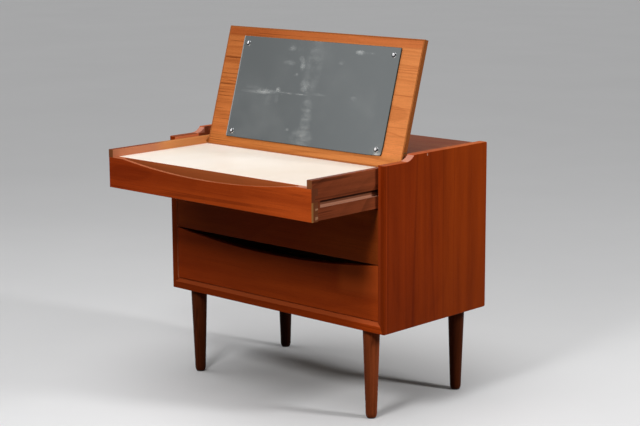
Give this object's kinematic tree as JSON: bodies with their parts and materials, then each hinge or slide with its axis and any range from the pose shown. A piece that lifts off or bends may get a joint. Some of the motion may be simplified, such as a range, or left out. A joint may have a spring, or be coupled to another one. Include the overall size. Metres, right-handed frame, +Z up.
{
  "type": "vanity chest",
  "caption": "Teak dressing chest on turned tapered legs: a drawn-out top drawer with a cream dressing board and a hinged mirror lid, above storage drawers with finger arcs",
  "frame": {"origin": "on the floor, under the middle of the bounding box at rest, with the top drawer drawn out", "axes": "+Z up; the drawers' fronts face -Y; +X to the right as seen from the front"},
  "size_m": [0.76, 0.621, 0.9242],
  "materials": {
    "teak_side": "oiled teak veneer, vertical grain",
    "teak_rail": "oiled solid teak",
    "teak_top": "oiled teak veneer, grain along the width",
    "teak_front_lower": "oiled teak, grain along the width",
    "teak_front_middle": "oiled teak, grain along the width",
    "teak_front_top": "oiled teak, grain along the width",
    "teak_drawer_side": "oiled solid teak, grain along the depth",
    "teak_leg": "turned oiled teak",
    "teak_lid": "oiled teak veneer, grain along the width",
    "teak_lipping": "oiled solid teak lipping",
    "hardwood": "planed pale hardwood",
    "plywood": "thin plywood",
    "laminate": "cream laminate on board",
    "mirror": "silvered glass, worn at the edges",
    "chrome": "polished screw heads",
    "brass": "plain brass",
    "steel": "bright steel",
    "nylon": "dark nylon glide"
  },
  "bodies": {
    "carcase": {"left_side_panel": "teak_side", "right_side_panel": "teak_side", "front_rail": "teak_rail", "bottom_panel": "plywood", "fixed_top": "teak_top", "back_panel": "plywood", "back_panel_screws": "steel", "top_dowels": "hardwood", "bottom_dowels": "hardwood", "left_vanity_runner": "hardwood", "right_vanity_runner": "hardwood", "left_middle_runner": "hardwood", "right_middle_runner": "hardwood", "left_lower_runner": "hardwood", "right_lower_runner": "hardwood", "runner_screws": "steel", "front_left_leg": "teak_leg", "front_right_leg": "teak_leg", "rear_left_leg": "teak_leg", "rear_right_leg": "teak_leg", "leg_bolts": "steel", "leg_glides": "nylon"},
    "vanity_drawer": {"vanity_drawer_front": "teak_front_top", "vanity_drawer_left_side": "teak_drawer_side", "vanity_drawer_right_side": "teak_drawer_side", "vanity_drawer_back": "teak_drawer_side", "dressing_board": "laminate", "board_ledges": "hardwood", "pivot_bushes": "brass"},
    "mirror_lid": {"lid_panel": "teak_lid", "lid_lipping": "teak_lipping", "mirror_glass": "mirror", "mirror_screws": "chrome", "left_pivot_plate": "brass", "right_pivot_plate": "brass", "pivot_screws": "brass"},
    "middle_drawer": {"middle_drawer_front": "teak_front_middle", "middle_drawer_left_side": "hardwood", "middle_drawer_right_side": "hardwood", "middle_drawer_back": "hardwood", "middle_drawer_bottom": "plywood"},
    "lower_drawer": {"lower_drawer_front": "teak_front_lower", "lower_drawer_left_side": "hardwood", "lower_drawer_right_side": "hardwood", "lower_drawer_back": "hardwood", "lower_drawer_bottom": "plywood"}
  },
  "joints": [
    {"name": "vanity_drawer_slide", "type": "slide", "parent": "carcase", "child": "vanity_drawer", "axis": [0, -1, 0], "range_m": [0, 0.04]},
    {"name": "mirror_lid_hinge", "type": "hinge", "parent": "vanity_drawer", "child": "mirror_lid", "pos_m": [0, 0.0213, 0.6205], "axis": [1, 0, 0], "range_deg": [0, 106.5]},
    {"name": "middle_drawer_slide", "type": "slide", "parent": "carcase", "child": "middle_drawer", "axis": [0, -1, 0], "range_m": [0, 0.27]},
    {"name": "lower_drawer_slide", "type": "slide", "parent": "carcase", "child": "lower_drawer", "axis": [0, -1, 0], "range_m": [0, 0.27]}
  ]
}
